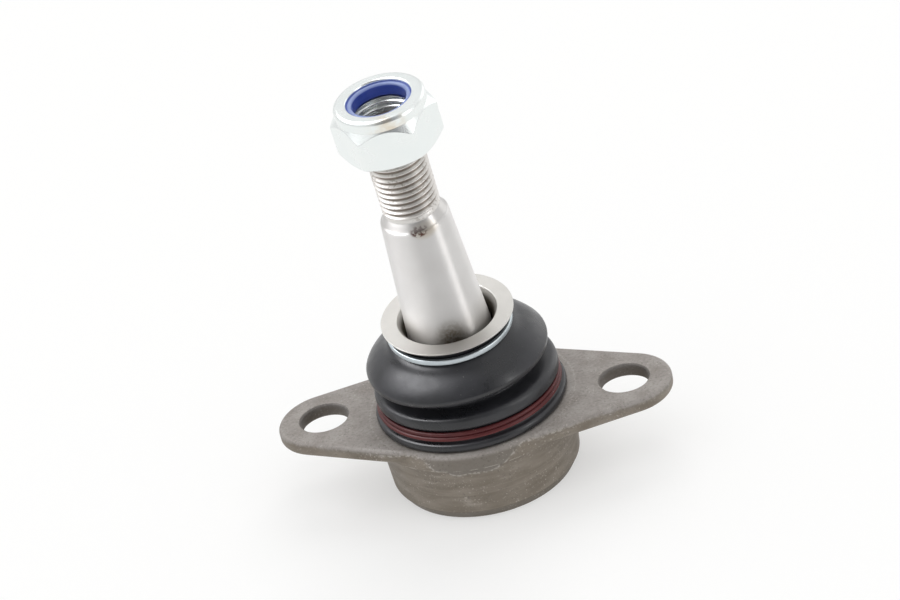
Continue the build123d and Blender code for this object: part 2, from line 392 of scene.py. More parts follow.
def brushed(shader, place, tilt, strength):
    """Stretch the highlight across the lines that a lathe leaves on a leaning piece."""
    tree = shader.id_data
    spun = add(tree, "VectorMath", {0: (0, 0, 1), 1: place}, operation="CROSS_PRODUCT")
    leaned = add(
        tree,
        "Mapping",
        {"Vector": spun.outputs[0], "Rotation": tilt},
        vector_type="VECTOR",
    )
    in_world = add(
        tree,
        "VectorTransform",
        {0: leaned.outputs[0]},
        vector_type="VECTOR",
        convert_from="OBJECT",
        convert_to="WORLD",
    )
    normal = add(tree, "NewGeometry").outputs["Normal"]
    across = vectors("CROSS_PRODUCT", normal, in_world.outputs[0])[0]
    tree.links.new(across, shader.inputs["Tangent"])
    shader.inputs["Anisotropic"].default_value = strength


def bumped(shader, height, strength, distance):
    """Feed a height into a Bump node and the Bump node into the shader."""
    inputs = {"Height": height, "Strength": strength, "Distance": distance}
    bump = add(shader.id_data, "Bump", inputs)
    shader.id_data.links.new(bump.outputs[0], shader.inputs["Normal"])


print("finish helpers ready")

# %% [markdown]
# ## Forged and phosphated steel
#
# The housing is forged, blasted and phosphated, which leaves a dull grey-brown skin. It
# has a fine grain, a few broad stains, pale grains of scale, and bright worn lines where
# the trimming tool cut the flash away. The cup below the flange was turned afterwards,
# so faint rings show on it.

# %% Finish: forging, patterns
forging, tree, shader, place = new_finish("forging", (0.25, 0.23, 0.21), 0.6)
grain = noise(place, 1300.0, 5.0)
stain = noise(place, 140.0, 5.0)
dots = use(specks, place, {"Scale": 1900.0, "Gather scale": 110.0, "Cut": 0.62})
pits = use(specks, place, {"Scale": 1500.0, "Gather scale": 150.0, "Cut": 0.6})
edges = use(worn_edges, place, {"Radius": 0.6 * mm, "Patch scale": 600.0, "Cover": 0.45})
rings = use(turned_lines, place, {"Lines per mm": 1.1})
aside, deep, height_of = axes(place)
print("nodes so far:", len(tree.nodes))

# %% Finish: forging, skin
skin = mixed(ramp(stain, 0.32, 0.68), (0.245, 0.223, 0.203), (0.32, 0.296, 0.276))
skin = over(ramp(grain, 0.5, 0.75), 0.35, skin, (0.4, 0.37, 0.345))
skin = over(ramp(grain, 0.5, 0.28), 0.4, skin, (0.14, 0.125, 0.11))
# Painted shade: below the top of the flange the skin is darker, on the upright sides and the
# front roll.
side = ramp(height_of, -0.5 * mm, -1.2 * mm)
skin = over(side, 0.8, skin, (0.15, 0.13, 0.105))
print("nodes with the skin:", len(tree.nodes))

# %% [markdown]
# The lathe's cut begins under the flange and dips where the forging bulges in front. Two
# noises shift its height: a fine one frays the border and a broad one lets it wander.

# %% Finish: forging, turned cup
bulge_at = 1.0 * mm
dip_depth = 4.6 * mm
off_middle = size_of(minus(aside, bulge_at))
dip = times(ramp(off_middle, 13.5 * mm, 3.5 * mm), dip_depth)
ragged = times(minus(grain, 0.5), 0.6 * mm)
wander = times(minus(stain, 0.5), 3.0 * mm)
below = plus(plus(plus(height_of, dip), ragged), wander)
cut_away = ramp(below, -0.4 * mm, -1.6 * mm)
long_grain = add(tree, "Mapping", {"Vector": place, "Scale": (1.0, 1.0, 3.5)})
streak = noise(long_grain.outputs[0], 130.0, 6.0)
# The cup's two colours are darker than the skin's: partly the turned finish, partly painted
# shade on the upright sides.
cup = mixed(ramp(streak, 0.3, 0.75), (0.168, 0.14, 0.108), (0.24, 0.208, 0.17))
cup = over(ramp(rings["Lines"], 0.55, 0.85), 0.2, cup, (0.34, 0.3, 0.255))
scuffs = times(ramp(stain, 0.55, 0.7), ramp(streak, 0.5, 0.62))
cup = over(scuffs, 0.4, cup, (0.38, 0.345, 0.3))
bottom_edge = ramp(height_of, -17.2 * mm, -17.8 * mm)
cup = mixed(bottom_edge, cup, (0.13, 0.11, 0.085))
colour = mixed(cut_away, skin, cup)
print("nodes with the cup:", len(tree.nodes))

# %% [markdown]
# Along that border runs a thin bright line, and another one goes round the boot's foot.
# Pale grains, dark pits, worn edges and painted shade on the walls of the two bolt holes come
# last.

# %% Finish: forging, marks
boot_mark_r = 26.2 * mm
hole_at = 38.35 * mm
line_foot = ramp(below, -1.3 * mm, -0.9 * mm)
line = times(line_foot, ramp(below, -0.4 * mm, -0.8 * mm))
near_middle = times(ramp(off_middle, 30.0 * mm, 18.0 * mm), 0.7)
line = times(line, plus(near_middle, 0.25))
round_boot = minus(from_axis(place), boot_mark_r)
ring_line = ramp(size_of(round_boot), 0.4 * mm, 0.1 * mm)
ring_mark = times(ring_line, ramp(height_of, -0.6 * mm, -0.2 * mm))
marks = maths("MAXIMUM", line, times(ring_mark, 0.5))
broken = times(marks, ramp(grain, 0.4, 0.6))
colour = over(broken, 0.5, colour, (0.52, 0.49, 0.45))
colour = over(dots["Specks"], 0.45, colour, (0.56, 0.52, 0.48))
colour = over(pits["Specks"], 0.4, colour, (0.08, 0.07, 0.06))
colour = over(edges["Edge"], 0.5, colour, (0.55, 0.52, 0.47))
# Painted shade: the walls of the two bolt holes are painted dark.
from_hole = minus(size_of(aside), hole_at)
hole_place = add(tree, "CombineXYZ", {0: from_hole, 1: deep}).outputs[0]
painted_hole_shade = ramp(from_axis(hole_place), 6.7 * mm, 6.3 * mm)
colour = over(painted_hole_shade, 0.6, colour, (0.05, 0.043, 0.038))
painted(shader, colour)
rough = add(tree, "MapRange", {0: stain, 1: 0.3, 2: 0.7, 3: 0.68, 4: 0.5})
tree.links.new(rough.outputs[0], shader.inputs["Roughness"])
height = plus(grain, times(rings["Lines"], 0.25))
bumped(shader, height, 0.4, 0.12 * mm)
print("nodes of the whole forging:", len(tree.nodes))

# %% [markdown]
# ## Bright steel, plating and zinc
#
# These are metals, so their colour is the colour of their reflection, and their look is
# decided by how rough they are and by the lines that the tool left. The ground taper
# has very fine lines, the collar's face has coarser ones, and the zinc on the nut is
# smooth with a faint yellow and pink tint where the passivation is thicker.

# %% Finish: turned and ground steel
turned_steel, tree, shader, place = new_finish(
    "turned_steel", (0.66, 0.645, 0.63), 0.38, 1.0, ball_centre, stud_tilt
)
lines = use(turned_lines, place, {"Lines per mm": 11.0})
stain = noise(place, 210.0, 4.0)
pits = noise(place, 1200.0, 3.0)
colour = mixed(stain, (0.67, 0.655, 0.64), (0.75, 0.74, 0.73))
tint = spot(place, (4.6, -6.4, 61.1), (1, 1, 1.6), 4.2, 1.5)
colour = over(tint, 0.45, colour, (0.42, 0.33, 0.2))
rust = spot(place, (3.2, -6.9, 61.1), (1, 1, 1.7), 2.5, 1.6)
rust = times(rust, ramp(pits, 0.42, 0.56))
colour = over(rust, 0.9, colour, (0.1, 0.035, 0.025))
height_of = axes(place)[2]
# Darker towards the collar: partly grime, partly painted shade where the collar shades the stud.
grime_and_base_shade = ramp(height_of, 38.0 * mm, 27.5 * mm)
colour = over(grime_and_base_shade, 0.45, colour, (0.36, 0.335, 0.3))
# Painted shade: the bevel is painted darker, which dims its bright reflection.
painted_bevel_shade = ramp(height_of, 60.9 * mm, 61.3 * mm)
colour = over(painted_bevel_shade, 0.4, colour, (0.55, 0.535, 0.515))
# Painted shade: a dark spot on the stud's lower left dims the reflection there.
painted_base_shade = spot(place, (-7.0, -7.0, 29.0), (1, 1, 0.8), 8.0, 2.0)
colour = over(painted_base_shade, 0.65, colour, (0.26, 0.24, 0.215))
# A dark brown patch at the base: partly an oil stain, partly a painted reflection of the dark
# gap in the collar.
oil_and_dark_reflection = spot(place, (4.3, -9.1, 30.0), (1, 1, 0.75), 5.2, 1.0)
oil_and_dark_reflection = times(oil_and_dark_reflection, plus(times(ramp(pits, 0.35, 0.6), 0.3), 0.55))
colour = mixed(oil_and_dark_reflection, colour, (0.15, 0.12, 0.08))
painted(shader, colour)
bumped(shader, lines["Lines"], 0.3, 0.03 * mm)
brushed(shader, place, stud_tilt, 0.95)

# %% Finish: thread steel
thread_steel, tree, shader, place = new_finish(
    "thread_steel", (0.54, 0.52, 0.5), 0.48, 1.0, ball_centre, stud_tilt
)
lines = use(turned_lines, place, {"Lines per mm": 5.0})
dirt = use(specks, place, {"Scale": 1600.0, "Gather scale": 260.0, "Cut": 0.55})
# Painted shade: the thread's roots are painted darker than its crests.
painted_root_shade = ramp(from_axis(place), 6.2 * mm, 6.7 * mm)
colour = mixed(painted_root_shade, (0.3, 0.262, 0.23), (0.74, 0.72, 0.695))
colour = over(dirt["Specks"], 0.5, colour, (0.26, 0.22, 0.18))
painted(shader, colour)
bumped(shader, plus(lines["Lines"], dirt["Specks"]), 0.3, 0.03 * mm)
brushed(shader, place, stud_tilt, 0.6)

# %% Finish: plated collar
plated_collar, tree, shader, place = new_finish(
    "plated_collar", (0.7, 0.68, 0.65), 0.42, 0.5, collar_centre, collar_tilt
)
lines = use(turned_lines, place, {"Lines per mm": 9.0})
cloud = noise(place, 320.0, 4.0)
colour = mixed(cloud, (0.61, 0.595, 0.565), (0.7, 0.685, 0.65))
# Painted shade: the front of the collar's face is painted darker.
painted_front_shade = spot(place, (-1.0, -14.0, 7.5), (0.6, 1, 1), 9.0, 2.0)
colour = over(painted_front_shade, 0.9, colour, (0.36, 0.343, 0.32))
# Painted shade: the throat of the bore is painted nearly black.
painted_throat_shade = ramp(from_axis(place), 12.2 * mm, 11.2 * mm)
colour = mixed(painted_throat_shade, colour, (0.06, 0.05, 0.036))
painted(shader, colour)
bumped(shader, lines["Lines"], 0.25, 0.03 * mm)

# %% Finish: zinc band
zinc_band, tree, shader, place = new_finish(
    "zinc_band", (0.56, 0.61, 0.65), 0.36, 1.0, collar_centre, collar_tilt
)
cloud = noise(place, 260.0, 3.0)
colour = mixed(cloud, (0.5, 0.56, 0.59), (0.66, 0.71, 0.735))
painted(shader, colour)
bumped(shader, cloud, 0.15, 0.1 * mm)

# %% Finish: zinc nut
zinc_nut, tree, shader, place = new_finish(
    "zinc_nut", (0.86, 0.88, 0.88), 0.2, 1.0, ball_centre, stud_tilt
)
cloud = noise(place, 180.0, 2.0)
tint = noise(place, 420.0, 1.0)
edges = use(worn_edges, place, {"Radius": 0.7 * mm, "Patch scale": 260.0, "Cover": 0.42})
plain = mixed(cloud, (0.82, 0.865, 0.86), (0.88, 0.905, 0.89))
warm = mixed(ramp(tint, 0.4, 0.6), (0.84, 0.78, 0.64), (0.8, 0.77, 0.83))
colour = over(edges["Edge"], 0.35, plain, warm)
height_of = axes(place)[2]
shoulder = spot(place, (4.6, -9.6, 91.6), (1, 1, 1), 6.0, 1.5)
shoulder = times(shoulder, ramp(height_of, 91.0 * mm, 91.4 * mm))
shoulder = times(shoulder, ramp(tint, 0.25, 0.65))
colour = mixed(shoulder, colour, (0.74, 0.68, 0.57))
painted(shader, colour)
rough = add(tree, "MapRange", {0: cloud, 3: 0.2, 4: 0.32})
tree.links.new(rough.outputs[0], shader.inputs["Roughness"])
bumped(shader, tint, 0.06, 0.1 * mm)

# %% [markdown]
# ## Rubber, lacquer and plastics
#
# Moulded rubber is nearly black but not matt: light runs over its folds in soft grey
# bands, broken by a fine pebble and a little dust. The spring ring is lacquered dark red,
# and the nut's locking ring is blue nylon, which lets some light in.

# %% Finish: boot rubber
boot_rubber, tree, shader, place = new_finish("boot_rubber", (0.01, 0.011, 0.013), 0.38)
pebble = noise(place, 1800.0, 3.0)
bloom = noise(place, 90.0, 4.0)
dust = use(specks, place, {"Scale": 1700.0, "Gather scale": 90.0, "Cut": 0.72})
colour = mixed(ramp(bloom, 0.35, 0.7), (0.013, 0.0135, 0.016), (0.024, 0.0245, 0.0285))
colour = over(dust["Specks"], 0.4, colour, (0.25, 0.24, 0.22))
painted(shader, colour)
rough = add(tree, "MapRange", {0: bloom, 1: 0.35, 2: 0.65, 3: 0.26, 4: 0.4})
uneven = times(minus(noise(place, 420.0, 4.0), 0.5), 0.35)
tree.links.new(plus(rough.outputs[0], uneven), shader.inputs["Roughness"])
bumped(shader, pebble, 0.25, 0.06 * mm)

# %% Finish: red lacquer
red_wire, tree, shader, place = new_finish("red_wire", (0.11, 0.02, 0.02), 0.36)
cloud = noise(place, 300.0, 4.0)
chips = use(specks, place, {"Scale": 900.0, "Gather scale": 80.0, "Cut": 0.7})
colour = mixed(cloud, (0.08, 0.012, 0.014), (0.16, 0.035, 0.034))
height_of = axes(place)[2]
# Painted shade: the upper turn, tucked under the boot's fold, is painted darker.
upper_turn_shade = ramp(height_of, 3.4 * mm, 4.0 * mm)
colour = over(upper_turn_shade, 0.5, colour, (0.045, 0.006, 0.008))
colour = over(chips["Specks"], 0.5, colour, (0.5, 0.35, 0.3))
painted(shader, colour)
bumped(shader, cloud, 0.1, 0.1 * mm)
shader.inputs["Specular IOR Level"].default_value = 0.3

# %% Finish: blue nylon
blue_nylon, tree, shader, place = new_finish(
    "blue_nylon", (0.05, 0.1, 0.5), 0.34, 0.0, ball_centre, stud_tilt
)
lines = use(turned_lines, place, {"Lines per mm": 4.0})
wall = mixed(lines["Bands"], (0.035, 0.07, 0.36), (0.06, 0.11, 0.5))
height_of = axes(place)[2]
# Painted highlight: the top of the rim is painted paler.
painted_rim_highlight = ramp(height_of, 92.8 * mm, 93.2 * mm)
painted_rim_highlight = times(painted_rim_highlight, ramp(from_axis(place), 7.5 * mm, 7.1 * mm))
colour = over(painted_rim_highlight, 0.85, wall, (0.3, 0.37, 0.62))
painted(shader, colour)
shader.inputs["Subsurface Weight"].default_value = 0.15
shader.inputs["Subsurface Radius"].default_value = (0.3, 0.4, 1.0)
shader.inputs["Subsurface Scale"].default_value = 0.6 * mm
bumped(shader, lines["Lines"], 0.1, 0.04 * mm)

# %% [markdown]
# ## Finishes of the hidden pieces
#
# The bearing seats, the disc spring and the closing plate are inside or underneath. They
# still get a real finish, because the part is looked at from below and taken apart.

# %% Finishes: bearing plastic, spring steel, pressed plate
bearing_plastic, tree, shader, place = new_finish("bearing_plastic", (0.8, 0.78, 0.72), 0.42)
cloud = noise(place, 220.0, 3.0)
colour = mixed(cloud, (0.74, 0.72, 0.66), (0.84, 0.82, 0.77))
painted(shader, colour)
bumped(shader, cloud, 0.1, 0.1 * mm)

spring_steel, tree, shader, place = new_finish("spring_steel", (0.3, 0.3, 0.31), 0.35, 1.0)
lines = use(turned_lines, place, {"Lines per mm": 6.0})
colour = mixed(lines["Bands"], (0.24, 0.24, 0.25), (0.36, 0.36, 0.37))
painted(shader, colour)
bumped(shader, lines["Lines"], 0.2, 0.03 * mm)

pressed_plate, tree, shader, place = new_finish("pressed_plate", (0.24, 0.22, 0.2), 0.5, 0.5)
cloud = noise(place, 240.0, 5.0)
edges = use(worn_edges, place, {"Radius": 0.4 * mm, "Patch scale": 500.0})
colour = mixed(cloud, (0.19, 0.175, 0.155), (0.3, 0.28, 0.255))
colour = over(edges["Edge"], 0.5, colour, (0.5, 0.47, 0.43))
painted(shader, colour)
bumped(shader, cloud, 0.3, 0.1 * mm)

# %% [markdown]
# ## Dressing the solids that keep their own mesh
#
# The housing, both seats, the spring and the plate already have the right shape, so they
# stay as the CAD made them and only their material slots are filled.

# %% Materials of the kept solids
kept_solids = {
    "housing": forging,
    "bearing_seat_upper": bearing_plastic,
    "bearing_seat_lower": bearing_plastic,
    "preload_spring": spring_steel,
    "closing_plate": pressed_plate,
}
for node, material in kept_solids.items():
    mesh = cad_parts[node].data
    mesh.materials.clear()
    mesh.materials.append(material)
print("kept:", ", ".join(kept_solids))


# %% [markdown]
# ## A lathe and a thread cutter
#
# Most pieces are turned, so the helper below works as a lathe does: it takes an outline
# of radius and height, rounds the corners that ask for it with a vertex bevel, and spins
# it once round Z. Closed outlines give rings, and outlines that begin and end on the
# axis give solids.
#
# A thread is the same idea with a rise: one tooth after another on a line, spun once
# while it climbs by one pitch. Each tooth then ends where the next one began, and
# merging the doubles makes one continuous helix.

# %% Lathe
lathe_steps = 96
corner_segments = 4


def spin_round(bm, turns, steps, rise=0.0, merge=False):
    """Spin all of a bmesh round Z, with a rise that is shared out over the steps."""
    bmesh.ops.spin(
        bm,
        geom=bm.verts[:] + bm.edges[:],
        cent=(0, 0, 0),
        axis=(0, 0, 1),
        angle=turns * 2 * pi,
        steps=steps,
        dvec=(0, 0, rise / steps),
        use_merge=merge,
    )


def set_down(bm, place):
    """Turn a bmesh's faces out, scale it from millimetres and set it in its place."""
    bmesh.ops.recalc_face_normals(bm, faces=bm.faces)
    bmesh.ops.transform(bm, matrix=place @ Matrix.Scale(mm, 4), verts=bm.verts)


def lathe(outline, place, ring=True):
    """Spin an outline of (radius, height, corner rounding) in mm and set it in place."""
    bm = bmesh.new()
    corners = [bm.verts.new((r, 0, z)) for r, z, _ in outline]
    for first, second in zip(corners, corners[1:]):
        bm.edges.new((first, second))
    if ring:
        bm.edges.new((corners[-1], corners[0]))
    for corner, (_, _, rounding) in zip(corners, outline):
        if rounding:
            bmesh.ops.bevel(
                bm,
                geom=[corner],
                affect="VERTICES",
                offset=rounding,
                segments=corner_segments,
                profile=0.5,
                material=-1,
            )
    spin_round(bm, 1, lathe_steps, merge=True)
    bmesh.ops.remove_doubles(bm, verts=bm.verts, dist=0.0001)
    set_down(bm, place)
    return bm


print("lathe ready, steps in a turn:", lathe_steps)

# %% Thread cutter
thread_pitch = 1.5
thread_depth = 0.8
thread_steps = 72
start_turn = 0.2


def set_radius(vert, wanted):
    """Move a vertex straight out from the Z axis or in towards it."""
    share = wanted / vert.co.xy.length
    vert.co.x *= share
    vert.co.y *= share


def thread_wall(major_r, low, high):
    """A helical wall between two heights, with 60 degree teeth on whole pitches."""
    bm = bmesh.new()
    root_r = major_r - thread_depth
    tooth = [(root_r, 0.0), (root_r, 0.16), (root_r + 0.06, 0.24)]
    tooth += [(major_r - 0.04, 0.66), (major_r, 0.72), (major_r, 0.86)]
    tooth += [(major_r - 0.04, 0.92), (root_r + 0.06, 1.34)]
    first_tooth = int(low // thread_pitch) - 1
    last_tooth = int(high // thread_pitch) + 1
    chain = []
    for count in range(first_tooth, last_tooth + 1):
        tooth_foot = (count - start_turn) * thread_pitch
        for r, z in tooth:
            chain.append(bm.verts.new((r, 0, z + tooth_foot)))
    for first, second in zip(chain, chain[1:]):
        bm.edges.new((first, second))
    spin_round(bm, 1, thread_steps, rise=thread_pitch)
    bmesh.ops.remove_doubles(bm, verts=bm.verts, dist=0.0005)
    for height, side in ((low, -1), (high, 1)):
        bmesh.ops.bisect_plane(
            bm,
            geom=bm.verts[:] + bm.edges[:] + bm.faces[:],
            plane_co=(0, 0, height),
            plane_no=(0, 0, side),
            clear_outer=True,
        )
    return bm


print("thread cutter ready, pitch:", thread_pitch, "mm")


# %% [markdown]
# One more helper turns a finished bmesh into an object. It shades the mesh smooth, keeps
# edges sharper than a given angle, and lets a Weighted Normal modifier make the wide
# faces flat next to their small rounded edges. Then it hides the solid that the piece
# stands for and parents the piece to the empty of the body it rides on.

# %% Piece maker
def add_piece(name, bm, body, node, material, sharp_degrees=38, weighted=True):
    """Make an object of a bmesh, give it its finish, hide its solid and put it on its body."""
    mesh = bpy.data.meshes.new(name)
    bm.to_mesh(mesh)
    bm.free()
    mesh.materials.append(material)
    mesh.polygons.foreach_set("use_smooth", [True] * len(mesh.polygons))
    mesh.set_sharp_from_angle(angle=radians(sharp_degrees))
    piece = new_object(name, mesh)
    if weighted:
        normals = piece.modifiers.new("flat_faces_stay_flat", "WEIGHTED_NORMAL")
        normals.keep_sharp = True
    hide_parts(node)
    if body is not None:
        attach(piece, body)
    print(name, "has", len(mesh.polygons), "faces")
    return piece


print("piece maker ready")

# %% [markdown]
# ## Ball stud
#
# The stud is one forging, turned and ground: a ball that stays hidden, a waisted neck, a
# cylindrical land under the collar, a long 1:8 taper that wedges into the wheel carrier,
# a bevel, and the threaded end. The lathe makes all but the thread.

# %% Stud shank
ball_r = 13
land_r = 10.44
land_end = 26.5
taper_end = 60.2
taper_top_r = land_r - (taper_end - land_end) / 16
shank_top = 63.3
run_out_r = 6.75
shank = [(0, -ball_r, 0)]
for step in range(1, 19):
    swing = step * pi / 24
    shank.append((ball_r * sin(swing), -ball_r * cos(swing), 0))
shank += [
    (8.0, 10.25, 0),
    (8.0, 12.4, 1.2),
    (8.9, 16.2, 0),
    (land_r, 20.0, 0.8),
    (land_r, land_end, 0.4),
    (taper_top_r, taper_end, 0.3),
    (taper_top_r - 0.16, 61.0, 0.25),
    (taper_top_r - 0.62, 61.2, 0.25),
    (7.05, 62.7, 0.5),
    (run_out_r, 63.1, 0.15),
    (run_out_r, shank_top, 0),
    (0, shank_top, 0),
]
shank_mesh = lathe(shank, stud_frame, ring=False)
stud_shank = add_piece("stud_shank", shank_mesh, "stud", "ball_stud", turned_steel)

# %% [markdown]
# The thread is cut on its own and overlaps the shank's flat top by a hair. At its lower
# end the grooves run out into the plain shank, and at its tip the crests are chamfered,
# so each vertex is kept between an inner and an outer envelope.

# %% Stud thread
thread_r = 6.97
tip_r = 6.0
thread_low = shank_top - 0.15
thread_high = 86.4
grooves_from = 64.0
groove_slope = 0.5
crests_from = 63.4
crest_slope = 0.7
cut = thread_wall(thread_r, thread_low, thread_high)
for vert in cut.verts:
    height = vert.co.z
    least = run_out_r - 0.01 - max(0.0, height - grooves_from) * groove_slope
    run_out = run_out_r + max(0.0, height - crests_from) * crest_slope
    chamfer = tip_r + (thread_high - height)
    set_radius(vert, min(max(vert.co.xy.length, least), run_out, chamfer))
bmesh.ops.holes_fill(cut, edges=cut.edges, sides=0)
set_down(cut, stud_frame)
stud_thread = add_piece("stud_thread", cut, "stud", "ball_stud", thread_steel, 50)

# %% [markdown]
# ## Sealing collar
#
# The collar is a flanged sleeve that runs on the stud's land. Its top face is what shows:
# a flat satin ring with a crisp but not razor-sharp rim, and a bore that opens like a
# funnel, so that a gap stays round the stud, and painted shade in its finish makes the throat
# dark.

# %% Collar
bore = [(10.6, -0.8, 0.15), (10.6, 0.8, 0.3), (10.85, 4.8, 0.5)]
flange = [(12.4, 7.5, 0.2), (16.4, 7.5, 0.15), (16.4, 7.1, 0.15)]
sleeve = [(12.9, 7.1, 0.25), (12.9, -1.4, 0.2), (11.3, -1.4, 0.2)]
collar_mesh = lathe(bore + flange + sleeve, collar_frame)
sealing_collar = add_piece(
    "sealing_collar", collar_mesh, "collar", "stud_collar", plated_collar
)

# %% [markdown]
# ## Top clip
#
# A narrow zinc-plated band holds the boot's top lip on the collar. It is rolled from flat
# strip, so its section is a rectangle with generous corners.

# %% Clip
clip = [(14.6, 3.4, 0.2), (15.6, 3.4, 0.35), (15.6, 4.9, 0.35), (14.6, 4.9, 0.2)]
top_clip = add_piece("top_clip", lathe(clip, collar_frame), "collar", "boot_top_clip", zinc_band)


# %% [markdown]
# ## Boot
#
# The boot is a rubber bellows with two folds. Its lower end is level with the housing
# and its upper end leans with the collar, so it can't simply be spun. Instead it is
# built of rings: each ring takes its own share of the lean, neighbouring rings are
# bridged, and a Subdivision Surface modifier turns the steps into soft folds. The inner
# wall is the same thing again, and the two meet at both ends. Near the top a few rings
# are moved aside, where the leaning collar presses the rubber out.

# %% Boot rings
boot_sag = 0.4 * mm
fold_tilt = radians(1.9)


def boot_place(height, share, aside_mm=0.0):
    """Where a boot ring sits, from level at share 0 to the collar's lean at share 1."""
    up = Vector((0, 0, height * mm))
    reach = (height * mm - ball_centre.z) / stud_frame.col[2].z
    on_stud_line = ball_centre + stud_frame.col[2].xyz * reach
    middle = up.lerp(on_stud_line, share)
    between = sin(pi * share)
    middle.x += aside_mm * mm - boot_sag * between
    lean = Euler((collar_tilt.x * share**3, 0, collar_tilt.z)).to_matrix().to_4x4()
    aside = Matrix.Rotation(-fold_tilt * between, 4, "Y")
    return Matrix.Translation(middle) @ lean @ aside


def boot_rings(wall, neck):
    """Places and radii: a wall of (height, share, radius, aside), a neck of (height, radius)."""
    rings = [(boot_place(height, share, *aside), r) for height, share, r, *aside in wall]
    for height, r in neck:
        rings.append((collar_frame @ Matrix.Translation((0, 0, height * mm)), r))
    return rings


outer_rings = boot_rings(
    wall=[
        # foot bead
        (0.3, 0, 22.6), (0.3, 0, 24.0), (0.6, 0, 24.3), (1.4, 0, 24.35), (2.05, 0, 24.15),
        (2.35, 0, 23.6),
        # seat of the clamp ring
        (2.5, 0, 22.6), (5.2, 0, 22.3), (5.7, 0, 22.5), (5.85, 0, 23.0),
        # lower fold
        (6.3, 0.03, 23.3), (7.3, 0.06, 23.35), (8.4, 0.1, 23.2), (9.1, 0.14, 22.7),
        (9.5, 0.18, 21.6), (9.8, 0.22, 19.9),
        # groove between the folds
        (10.2, 0.28, 18.2), (12.6, 0.4, 18.2), (13.0, 0.46, 19.8),
        # upper fold and shoulder
        (13.2, 0.5, 21.5), (13.5, 0.53, 22.25), (14.3, 0.6, 22.75), (15.6, 0.66, 22.95),
        (16.1, 0.7, 22.75), (17.2, 0.76, 21.9), (18.7, 0.84, 20.4, 0.3),
        (20.0, 0.9, 18.6, 0.45), (21.1, 0.95, 16.9, 0.3),
    ],
    neck=[
        (2.2, 15.9), (2.8, 14.9), (3.3, 14.35), (5.2, 14.3), (5.5, 14.7), (6.6, 14.75),
        (6.75, 14.5),
    ],
)
inner_rings = boot_rings(
    wall=[
        (0.3, 0, 20.9), (4.1, 0, 20.9), (4.4, 0, 21.4), (5.7, 0, 21.4), (7.6, 0.06, 21.4),
        (8.6, 0.15, 19.6), (9.6, 0.28, 16.8), (13.2, 0.4, 16.8), (14.4, 0.56, 20.2),
        (15.5, 0.65, 21.2), (17.0, 0.76, 20.2), (18.6, 0.86, 18.5),
    ],
    neck=[(1.6, 13.5), (3.4, 13.2), (6.75, 13.2)],
)
print("boot rings:", len(outer_rings) + len(inner_rings))

# %% [markdown]
# Two helpers join rings: the first bridges a new ring to the one before it, and the
# second bridges the last to the first, which closes the wall. Bridging has to guess how
# two rings pair up, and where both lie in one plane it can guess wrongly and span the
# opening. Every edge then still has two faces, so the longest edge is printed as well.

# %% Bridging
def join_ring(bm, verts, chain):
    """Bridge a new ring of vertices to the last ring of a chain, and add it there."""
    bm.edges.ensure_lookup_table()
    ring_edges = list({edge for vert in verts for edge in vert.link_edges})
    if chain:
        bmesh.ops.bridge_loops(bm, edges=chain[-1] + ring_edges)
    chain.append(ring_edges)


def close_chain(bm, chain):
    """Bridge the last ring to the first, turn all faces out, and measure the result."""
    bmesh.ops.bridge_loops(bm, edges=chain[-1] + chain[0])
    bmesh.ops.recalc_face_normals(bm, faces=bm.faces)
    open_edges = sum(len(edge.link_faces) != 2 for edge in bm.edges)
    longest = max(edge.calc_length() for edge in bm.edges)
    print("rings:", len(chain), "open edges:", open_edges, "longest:", round(longest, 4))


boot_segments = 64
boot_mesh = bmesh.new()
boot_chain = []
for place, r in [*outer_rings, *reversed(inner_rings)]:
    made = bmesh.ops.create_circle(
        boot_mesh, cap_ends=False, segments=boot_segments, radius=r * mm, matrix=place
    )
    join_ring(boot_mesh, made["verts"], boot_chain)
close_chain(boot_mesh, boot_chain)

# %% Boot
dust_boot = add_piece("dust_boot", boot_mesh, None, "boot", boot_rubber, 180, weighted=False)
soft = dust_boot.modifiers.new("soft_folds", "SUBSURF")
soft.levels = 2
soft.render_levels = 2
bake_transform(dust_boot)

# %% [markdown]
# ## Clamp ring
#
# Two turns of lacquered spring wire squeeze the boot onto the housing's neck. A circle
# the size of the wire is spun twice round the housing while it climbs, and its two ends
# are capped. They lie at the back, and the upper turn is tucked in a little.

# %% Clamp ring
wire_r = 0.58
wire_segments = 12
coil_r = 23.05
coil_rise = 1.1
coil_low = 2.98
coil_turns = 2.1
coil_steps = 260
coil_start = radians(60)
tucked_from = 3.5
tucked_over = 0.6
tucked_by = 0.3
coil = bmesh.new()
upright = Matrix.Translation((coil_r, 0, coil_low)) @ Matrix.Rotation(pi / 2, 4, "X")
bmesh.ops.create_circle(
    coil, cap_ends=False, segments=wire_segments, radius=wire_r, matrix=upright
)
turn = Matrix.Rotation(coil_start, 4, "Z")
bmesh.ops.transform(coil, matrix=turn, verts=coil.verts)
spin_round(coil, coil_turns, coil_steps, rise=coil_turns * coil_rise)
bmesh.ops.holes_fill(coil, edges=coil.edges, sides=0)
for vert in coil.verts:
    share = min(1.0, max(0.0, (vert.co.z - tucked_from) / tucked_over))
    set_radius(vert, vert.co.xy.length - tucked_by * share)
set_down(coil, Matrix.Identity(4))
clamp_ring = add_piece(
    "clamp_ring", coil, "housing", "boot_clamp_ring", red_wire, 60, weighted=False
)

# %% [markdown]
# ## Lock nut
#
# A nut is a cone that meets six planes, and its corners are a little round. Both come
# from one idea: go round the nut once and note the angle and the radius of a hexagon
# with round corners. A level of the nut is then a circle whose vertices are moved to
# those angles. It stays a circle where the nut is turned, and takes the hexagon's radii
# where it is flat, with a height that falls off with the radius, as a chamfer does. The
# crown above is turned too, with a lip that holds the blue ring in its pocket. No two
# neighbouring levels share a height: a few hundredths of a millimetre keep them apart.

